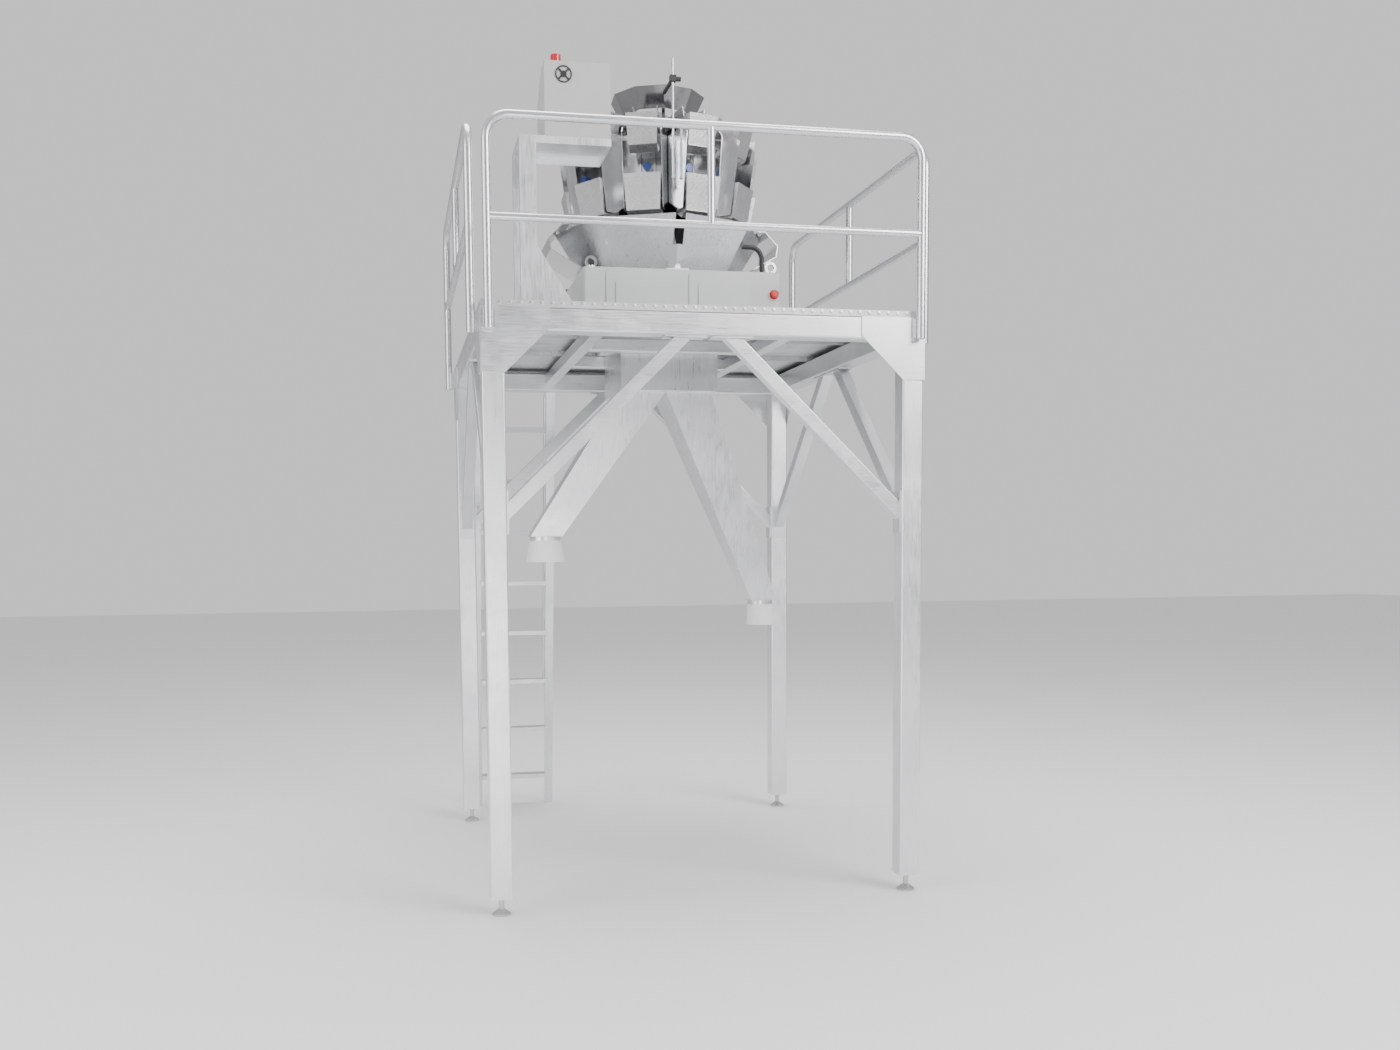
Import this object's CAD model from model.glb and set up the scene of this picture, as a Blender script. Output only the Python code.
"""Finishes, light and camera for the ten-head weigher on its platform, in metres."""
import logging
import math
from dataclasses import dataclass
from enum import Enum
from typing import Sequence

import bpy
from mathutils import Matrix, Vector

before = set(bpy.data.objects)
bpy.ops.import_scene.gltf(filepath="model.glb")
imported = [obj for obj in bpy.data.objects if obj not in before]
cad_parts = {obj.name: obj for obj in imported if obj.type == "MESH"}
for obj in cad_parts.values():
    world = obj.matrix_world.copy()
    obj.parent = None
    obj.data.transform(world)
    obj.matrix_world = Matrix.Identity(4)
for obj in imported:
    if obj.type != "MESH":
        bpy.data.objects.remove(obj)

LOG = logging.getLogger("weigher")


class Axis(Enum):
    """A direction that a ground finish runs in."""

    X = (0.03, 1.0, 1.0)
    Y = (1.0, 0.03, 1.0)
    Z = (1.0, 1.0, 0.03)
    NONE = (1.0, 1.0, 1.0)


# ------------------------------------------------------------------ shading
class Shading:
    """A node tree under construction."""

    def __init__(self, tree: bpy.types.NodeTree) -> None:
        """Start on an emptied tree.

        Args:
            tree: The node tree of a material, a group or the world.
        """
        self.tree = tree
        tree.nodes.clear()

    def add(self, kind: str, **settings: object) -> bpy.types.Node:
        """Add a node.

        Args:
            kind: The node's type name, without the "ShaderNode" in front where it has one.
            **settings: Properties of the node, by name.

        Returns:
            The new node.
        """
        prefix = "" if kind.startswith("Node") else "ShaderNode"
        node = self.tree.nodes.new(prefix + kind)
        for name, value in settings.items():
            setattr(node, name, value)
        return node

    def feed(self, node: bpy.types.Node, **sources: object) -> bpy.types.Node:
        """Set or link a node's inputs.

        Args:
            node: The node whose inputs are fed.
            **sources: A socket to link or a constant to set, by input name with "_" for " ",
                or by number as in "in0".

        Returns:
            The same node.
        """
        for name, source in sources.items():
            key: object = name.replace("_", " ")
            if name.startswith("in") and name[2:].isdigit():
                key = int(name[2:])
            socket = node.inputs[key]
            if isinstance(source, bpy.types.NodeSocket):
                self.tree.links.new(source, socket)
            else:
                socket.default_value = source
        return node

    def math(self, operation: str, first: object, second: object = 0.0) -> bpy.types.NodeSocket:
        """A math node's result.

        Args:
            operation: Blender's name of the operation.
            first: The first operand, a socket or a number.
            second: The second operand.

        Returns:
            The value socket.
        """
        return self.feed(self.add("Math", operation=operation), in0=first, in1=second).outputs[0]

    def remap(self, value: object, low: float, high: float, to_low: float, to_high: float) -> bpy.types.NodeSocket:
        """A value moved from one range to another, clamped.

        Args:
            value: The socket to remap.
            low: Start of the source range.
            high: End of the source range.
            to_low: Result at the start.
            to_high: Result at the end.

        Returns:
            The value socket.
        """
        node = self.add("MapRange")
        self.feed(node, in0=value, in1=low, in2=high, in3=to_low, in4=to_high)
        return node.outputs[0]

    def mix(self, factor: object, first: object, second: object) -> bpy.types.NodeSocket:
        """Two colours mixed.

        Args:
            factor: Share of the second colour.
            first: A socket or an RGBA colour.
            second: A socket or an RGBA colour.

        Returns:
            The colour socket.
        """
        node = self.add("Mix", data_type="RGBA")
        self.feed(node, in0=factor, in6=first, in7=second)
        return node.outputs[2]


def new_group(name: str, inputs: dict[str, float], outputs: Sequence[str],
              vectors: Sequence[str] = ()) -> tuple[bpy.types.NodeTree, Shading, dict[str, bpy.types.NodeSocket]]:
    """Make an empty shader group with named sockets.

    Args:
        name: The group's name.
        inputs: Number inputs with their defaults.
        outputs: Names of the number outputs.
        vectors: Names of vector inputs, added after the numbers.

    Returns:
        The tree, its shading helper and the group's inner input sockets by name.
    """
    tree = bpy.data.node_groups.new(name, "ShaderNodeTree")
    for key, value in inputs.items():
        tree.interface.new_socket(key, in_out="INPUT", socket_type="NodeSocketFloat").default_value = value
    for key in vectors:
        tree.interface.new_socket(key, in_out="INPUT", socket_type="NodeSocketVector")
    for key in outputs:
        tree.interface.new_socket(key, in_out="OUTPUT", socket_type="NodeSocketFloat")
    shading = Shading(tree)
    entry = shading.add("NodeGroupInput")
    return tree, shading, {socket.name: socket for socket in entry.outputs if socket.name}


def grain_group() -> bpy.types.NodeTree:
    """Long grinding lines, with broader cloudy bands under them.

    Returns:
        The group: Direction stretches the lines, Scale sets their fineness. Lines and Clouds come out.
    """
    tree, shading, given = new_group("grinding_grain", {"Scale": 300.0, "Cloud Scale": 3.0},
                                     ("Lines", "Clouds"), ("Direction",))
    coords = shading.add("TexCoord").outputs["Object"]
    stretched = shading.add("VectorMath", operation="MULTIPLY")
    shading.feed(stretched, in0=coords, in1=given["Direction"])
    lines = shading.add("TexNoise")
    shading.feed(lines, Vector=stretched.outputs[0], Scale=given["Scale"], Detail=3.0, Roughness=0.6)
    clouds = shading.add("TexNoise")
    shading.feed(clouds, Vector=coords, Scale=given["Cloud Scale"], Detail=2.0, Roughness=0.5)
    shading.feed(shading.add("NodeGroupOutput"), Lines=lines.outputs["Fac"], Clouds=clouds.outputs["Fac"])
    return tree


def dimple_group() -> bpy.types.NodeTree:
    """Small round dimples pressed into sheet, as on non-stick hoppers.

    Returns:
        The group: Scale sets the dimples' fineness. Height comes out.
    """
    tree, shading, given = new_group("pressed_dimples", {"Scale": 160.0}, ("Height",))
    coords = shading.add("TexCoord").outputs["Object"]
    cells = shading.add("TexVoronoi", feature="F1")
    shading.feed(cells, Vector=coords, Scale=given["Scale"], Randomness=0.35)
    bowl = shading.remap(cells.outputs["Distance"], 0.1, 0.5, 0.0, 1.0)
    shading.feed(shading.add("NodeGroupOutput"), Height=bowl)
    return tree


def smudge_group() -> bpy.types.NodeTree:
    """Handling marks and a thin veil of dust on faces that look up.

    Returns:
        The group: Scale sets the marks' size. Marks and Dust come out.
    """
    tree, shading, given = new_group("marks_and_dust", {"Scale": 9.0}, ("Marks", "Dust"))
    coords = shading.add("TexCoord").outputs["Object"]
    marks = shading.add("TexNoise")
    shading.feed(marks, Vector=coords, Scale=given["Scale"], Detail=5.0, Roughness=0.65, Distortion=0.4)
    spots = shading.remap(marks.outputs["Fac"], 0.46, 0.68, 0.0, 1.0)
    up = shading.add("SeparateXYZ")
    shading.feed(up, in0=shading.add("NewGeometry").outputs["Normal"])
    level = shading.remap(up.outputs["Z"], 0.6, 1.0, 0.0, 1.0)
    veil = shading.math("MULTIPLY", level, shading.remap(marks.outputs["Fac"], 0.3, 0.7, 0.35, 1.0))
    shading.feed(shading.add("NodeGroupOutput"), Marks=spots, Dust=veil)
    return tree


@dataclass(frozen=True)
class Effects:
    """The shader groups that the finishes share."""

    grain: bpy.types.NodeTree
    dimples: bpy.types.NodeTree
    smudges: bpy.types.NodeTree


def rgba(red: float, green: float, blue: float) -> tuple[float, float, float, float]:
    """An opaque colour."""
    return (red, green, blue, 1.0)


@dataclass(frozen=True)
class SteelFinish:
    """Ground or pressed stainless steel."""

    name: str
    axis: Axis = Axis.NONE
    light: tuple[float, float, float] = (0.80, 0.81, 0.82)
    dark: tuple[float, float, float] = (0.58, 0.59, 0.60)
    smooth: float = 0.26
    rough: float = 0.44
    grain_scale: float = 320.0
    grain_depth: float = 0.06
    dimple_depth: float = 0.0
    dimple_scale: float = 160.0

    def build(self, effects: Effects) -> bpy.types.Material:
        """Make the material.

        Args:
            effects: The shared shader groups.

        Returns:
            The finished material.
        """
        material = bpy.data.materials.new(self.name)
        material.use_nodes = True
        shading = Shading(material.node_tree)
        grain = shading.add("Group", node_tree=effects.grain)
        shading.feed(grain, Scale=self.grain_scale, Direction=self.axis.value, Cloud_Scale=2.4)
        marks = shading.add("Group", node_tree=effects.smudges)
        tone = shading.math("ADD", shading.math("MULTIPLY", grain.outputs["Lines"], 0.45),
                            shading.math("MULTIPLY", grain.outputs["Clouds"], 0.55))
        tone = shading.remap(tone, 0.34, 0.64, 0.0, 1.0)
        colour = shading.mix(tone, rgba(*self.dark), rgba(*self.light))
        worn = shading.math("MULTIPLY", marks.outputs["Dust"], 0.12)
        colour = shading.mix(worn, colour, rgba(0.66, 0.65, 0.62))
        matt = shading.remap(grain.outputs["Lines"], 0.3, 0.7, self.smooth, self.rough)
        matt = shading.math("ADD", matt, shading.math("MULTIPLY", marks.outputs["Marks"], 0.08))
        bump = shading.add("Bump")
        shading.feed(bump, Strength=self.grain_depth, Distance=0.001, Height=grain.outputs["Lines"])
        normal = bump.outputs["Normal"]
        if self.dimple_depth:
            dimples = shading.add("Group", node_tree=effects.dimples)
            shading.feed(dimples, Scale=self.dimple_scale)
            pressed = shading.add("Bump")
            shading.feed(pressed, Strength=self.dimple_depth, Distance=0.0015,
                         Height=dimples.outputs["Height"], Normal=normal)
            normal = pressed.outputs["Normal"]
        surface = shading.add("BsdfPrincipled")
        shading.feed(surface, Base_Color=colour, Metallic=1.0, Roughness=matt, Normal=normal)
        shading.feed(shading.add("OutputMaterial"), Surface=surface.outputs["BSDF"])
        return material


@dataclass(frozen=True)
class CoatedFinish:
    """Paint, moulded plastic, rubber or silicone."""

    name: str
    colour: tuple[float, float, float]
    rough: float = 0.4
    peel: float = 0.05
    peel_scale: float = 700.0
    coat: float = 0.0
    metallic: float = 0.0
    fade: float = 0.12
    translucent: float = 0.0

    def build(self, effects: Effects) -> bpy.types.Material:
        """Make the material.

        Args:
            effects: The shared shader groups.

        Returns:
            The finished material.
        """
        material = bpy.data.materials.new(self.name)
        material.use_nodes = True
        shading = Shading(material.node_tree)
        coords = shading.add("TexCoord").outputs["Object"]
        peel = shading.add("TexNoise")
        shading.feed(peel, Vector=coords, Scale=self.peel_scale, Detail=2.0)
        marks = shading.add("Group", node_tree=effects.smudges)
        faded = rgba(*(c + (0.5 - c) * self.fade for c in self.colour))
        colour = shading.mix(shading.math("MULTIPLY", marks.outputs["Marks"], 0.6), rgba(*self.colour), faded)
        colour = shading.mix(shading.math("MULTIPLY", marks.outputs["Dust"], 0.10), colour, rgba(0.62, 0.60, 0.57))
        matt = shading.math("ADD", shading.math("MULTIPLY", marks.outputs["Marks"], 0.1), self.rough)
        bump = shading.add("Bump")
        shading.feed(bump, Strength=self.peel, Distance=0.0008, Height=peel.outputs["Fac"])
        surface = shading.add("BsdfPrincipled")
        shading.feed(surface, Base_Color=colour, Metallic=self.metallic, Roughness=matt,
                     Normal=bump.outputs["Normal"], Coat_Weight=self.coat, Coat_Roughness=0.12)
        if self.translucent:
            shading.feed(surface, Subsurface_Weight=self.translucent, Subsurface_Scale=0.01)
        shading.feed(shading.add("OutputMaterial"), Surface=surface.outputs["BSDF"])
        return material


@dataclass(frozen=True)
class DeckFinish:
    """Matt stainless sheet with a raised grip pattern."""

    name: str
    pitch: float = 0.032

    def build(self, effects: Effects) -> bpy.types.Material:
        """Make the material.

        Args:
            effects: The shared shader groups.

        Returns:
            The finished material.
        """
        material = bpy.data.materials.new(self.name)
        material.use_nodes = True
        shading = Shading(material.node_tree)
        coords = shading.add("TexCoord").outputs["Object"]
        turned = shading.add("Mapping")
        shading.feed(turned, Vector=coords, Rotation=(0.0, 0.0, math.radians(45.0)))
        bars = shading.add("TexVoronoi", feature="F1")
        shading.feed(bars, Vector=turned.outputs[0], Scale=1.0 / self.pitch, Randomness=0.0)
        lug = shading.remap(bars.outputs["Distance"], 0.18, 0.34, 1.0, 0.0)
        marks = shading.add("Group", node_tree=effects.smudges)
        shading.feed(marks, Scale=4.0)
        colour = shading.mix(marks.outputs["Marks"], rgba(0.60, 0.61, 0.62), rgba(0.50, 0.50, 0.50))
        bump = shading.add("Bump")
        shading.feed(bump, Strength=0.5, Distance=0.002, Height=lug)
        surface = shading.add("BsdfPrincipled")
        shading.feed(surface, Base_Color=colour, Metallic=1.0,
                     Roughness=shading.remap(lug, 0.0, 1.0, 0.5, 0.36), Normal=bump.outputs["Normal"])
        shading.feed(shading.add("OutputMaterial"), Surface=surface.outputs["BSDF"])
        return material


class Finishes:
    """Every finish of the machine, built once."""

    def __init__(self) -> None:
        """Build the shared effects and then the materials."""
        effects = Effects(grain_group(), dimple_group(), smudge_group())
        recipes = [
            SteelFinish("ground_steel_upright", Axis.Z, light=(0.90, 0.91, 0.92), dark=(0.72, 0.73, 0.75)),
            SteelFinish("ground_steel_across", Axis.X, light=(0.82, 0.83, 0.84), dark=(0.62, 0.63, 0.65)),
            SteelFinish("ground_steel_deep", Axis.Y, light=(0.80, 0.81, 0.82), dark=(0.60, 0.61, 0.63)),
            SteelFinish("rolled_sheet", Axis.Z, light=(0.84, 0.85, 0.86), dark=(0.66, 0.67, 0.69),
                        smooth=0.24, rough=0.36, grain_scale=120.0, grain_depth=0.03),
            SteelFinish("rail_tube", Axis.NONE, light=(0.78, 0.79, 0.80), dark=(0.62, 0.63, 0.65),
                        smooth=0.2, rough=0.34, grain_scale=500.0, grain_depth=0.03),
            SteelFinish("bright_steel", Axis.NONE, light=(0.88, 0.88, 0.89), dark=(0.76, 0.77, 0.78),
                        smooth=0.08, rough=0.2, grain_depth=0.02),
            SteelFinish("dimpled_sheet", Axis.NONE, light=(0.74, 0.74, 0.75), dark=(0.5, 0.5, 0.51),
                        smooth=0.2, rough=0.34, dimple_depth=0.55),
            SteelFinish("mirror_sheet", Axis.NONE, light=(0.34, 0.34, 0.35), dark=(0.16, 0.16, 0.17),
                        smooth=0.05, rough=0.13, grain_depth=0.01),
            SteelFinish("dark_works", Axis.NONE, light=(0.14, 0.14, 0.145), dark=(0.03, 0.03, 0.032),
                        smooth=0.1, rough=0.24, grain_depth=0.02),
            SteelFinish("fastener_steel", Axis.NONE, light=(0.66, 0.66, 0.67), dark=(0.42, 0.42, 0.43),
                        smooth=0.22, rough=0.38, grain_scale=900.0),
            DeckFinish("deck_sheet"),
            CoatedFinish("light_grey_paint", (0.56, 0.575, 0.57), rough=0.38, peel=0.07),
            CoatedFinish("console_paint", (0.47, 0.475, 0.465), rough=0.42, peel=0.08),
            CoatedFinish("white_silicone", (0.84, 0.84, 0.82), rough=0.5, peel=0.04, translucent=0.15),
            CoatedFinish("black_plastic", (0.018, 0.018, 0.02), rough=0.42, fade=0.03),
            CoatedFinish("blue_drive", (0.03, 0.10, 0.46), rough=0.3, coat=0.3),
            CoatedFinish("red_lens", (0.52, 0.012, 0.018), rough=0.16, peel=0.01, coat=0.5),
            CoatedFinish("red_button", (0.58, 0.02, 0.02), rough=0.28, coat=0.3),
        ]
        self.by_name = {recipe.name: recipe.build(effects) for recipe in recipes}

    def dress(self, finish: str, *nodes: str) -> None:
        """Give CAD nodes a finish.

        Args:
            finish: The finish's name.
            *nodes: The nodes' names.
        """
        for name in nodes:
            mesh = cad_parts[name].data
            mesh.materials.clear()
            mesh.materials.append(self.by_name[finish])
            LOG.info("%s: %s", name, finish)


# ------------------------------------------------------------------ modelling
def settle() -> None:
    """Go to object mode and leave nothing selected."""
    if bpy.context.mode != "OBJECT":
        bpy.ops.object.mode_set(mode="OBJECT")
    bpy.ops.object.select_all(action="DESELECT")


# ------------------------------------------------------------------ studio
@dataclass
class Studio:
    """Pale floor, soft lights and the camera."""

    floor_size: float = 60.0
    eye: tuple[float, float, float] = (-1.421, -6.906, 1.619)
    yaw: float = 11.28
    pitch: float = 4.33
    roll: float = -0.49
    focal: float = 33.07
    shift: tuple[float, float] = (0.0384, 0.0879)

    def build(self) -> None:
        """Make all of it."""
        self.floor()
        self.world()
        self.lights()
        self.camera()

    def floor(self) -> None:
        """A level plane under the feet."""
        settle()
        bpy.ops.mesh.primitive_plane_add(size=self.floor_size)
        floor = bpy.context.object
        floor.name = "studio_floor"
        material = bpy.data.materials.new("pale_floor")
        material.use_nodes = True
        shading = Shading(material.node_tree)
        surface = shading.add("BsdfPrincipled")
        shading.feed(surface, Base_Color=rgba(0.86, 0.86, 0.86), Roughness=0.75)
        shading.feed(shading.add("OutputMaterial"), Surface=surface.outputs["BSDF"])
        floor.data.materials.append(material)

    def world(self) -> None:
        """A bright surround with a darker band near the horizon, for the steel to reflect."""
        world = bpy.data.worlds.new("soft_surround")
        bpy.context.scene.world = world
        world.use_nodes = True
        shading = Shading(world.node_tree)
        way = shading.add("SeparateXYZ")
        shading.feed(way, in0=shading.add("TexCoord").outputs["Generated"])
        ramp = shading.add("ValToRGB")
        shading.feed(ramp, Fac=shading.remap(way.outputs["Z"], -0.2, 1.0, 0.0, 1.0))
        stops = ((0.0, 0.80), (0.2, 0.72), (0.34, 0.42), (0.55, 0.85), (1.0, 1.0))
        band = ramp.color_ramp
        for place, level in stops[1:-1]:
            band.elements.new(place)
        for element, (place, level) in zip(band.elements, stops):
            element.position = place
            element.color = rgba(level, level, level * 1.01)
        seen = shading.add("LightPath").outputs["Is Camera Ray"]
        colour = shading.mix(seen, ramp.outputs["Color"], rgba(0.93, 0.93, 0.93))
        light = shading.add("Background")
        shading.feed(light, Color=colour, Strength=0.9)
        shading.feed(shading.add("OutputWorld"), Surface=light.outputs[0])

    def lights(self) -> None:
        """A large key from the front right, a fill from the left and a soft top light."""
        centre = Vector((0.0, 0.0, 2.2))
        for name, place, size, power in (
                ("key", (4.5, -6.5, 6.0), 4.5, 620.0),
                ("fill", (-6.5, -4.0, 3.5), 5.0, 260.0),
                ("top", (0.0, 0.5, 8.5), 5.0, 420.0),
                ("low_front", (-1.0, -7.0, 0.8), 3.0, 90.0)):
            lamp = bpy.data.lights.new(name, "AREA")
            lamp.shape = "SQUARE"
            lamp.size = size
            lamp.energy = power
            holder = bpy.data.objects.new(name, lamp)
            holder.location = place
            holder.rotation_mode = "QUATERNION"
            holder.rotation_quaternion = (centre - Vector(place)).to_track_quat("-Z", "Y")
            bpy.context.scene.collection.objects.link(holder)

    def camera(self) -> None:
        """Set the camera at eye height, turned a little to the right."""
        lens = bpy.data.cameras.new("eye")
        lens.sensor_width = 36.0
        lens.lens = self.focal
        lens.shift_x, lens.shift_y = self.shift
        lens.clip_end = 100.0
        eye = bpy.data.objects.new("eye", lens)
        turn = (Matrix.Rotation(math.radians(-self.yaw), 4, "Z")
                @ Matrix.Rotation(math.radians(90.0 - self.pitch), 4, "X")
                @ Matrix.Rotation(math.radians(self.roll), 4, "Z"))
        eye.matrix_world = Matrix.Translation(self.eye) @ turn
        bpy.context.scene.collection.objects.link(eye)
        bpy.context.scene.camera = eye


# ------------------------------------------------------------------ making
def dress_nodes(finishes: Finishes) -> None:
    """Give every CAD node that stays in view its finish.

    Args:
        finishes: The finishes.
    """
    finishes.dress("ground_steel_upright", "legs", "ladder_stiles", "cabinet_stand", "drum_pillars")
    finishes.dress("ground_steel_across", "beams_front_back", "gussets_front_back", "deck_trimmers",
                   "ladder_treads", "braces_front_back")
    finishes.dress("ground_steel_deep", "beams_sides", "gussets_sides", "deck_joists", "braces_sides")
    finishes.dress("deck_sheet", "deck_front_back", "deck_sides")
    finishes.dress("rail_tube", "rail_front", "rail_sides", "ladder_handrails", "sensor_rod")
    finishes.dress("rolled_sheet", "chute_left", "chute_right", "collecting_box", "funnel_left", "funnel_right")
    finishes.dress("bright_steel", "hanger_frames", "side_scoops", "gap_brackets", "lifting_eyes", "gate_linkages")
    finishes.dress("dimpled_sheet", "feed_hoppers", "weigh_hoppers", "hopper_gates", "feeder_pans")
    finishes.dress("mirror_sheet", "infeed_ring", "top_cone")
    finishes.dress("dark_works", "drum", "drive_units", "vibrators")
    finishes.dress("light_grey_paint", "base_housing", "base_covers")
    finishes.dress("console_paint", "control_cabinet")
    finishes.dress("white_silicone", "outlet_sleeves")
    finishes.dress("black_plastic", "rod_clamp", "conduit", "fan_guard")
    finishes.dress("fastener_steel", "levelling_feet")
    finishes.dress("blue_drive", "gate_motors")
    finishes.dress("red_lens", "beacon")
    finishes.dress("red_button", "emergency_stop")


def main() -> None:
    """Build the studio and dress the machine."""
    logging.basicConfig(level=logging.INFO, format="%(name)s: %(message)s")
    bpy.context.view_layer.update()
    Studio().build()
    finishes = Finishes()
    dress_nodes(finishes)


if __name__ == "__main__":
    main()
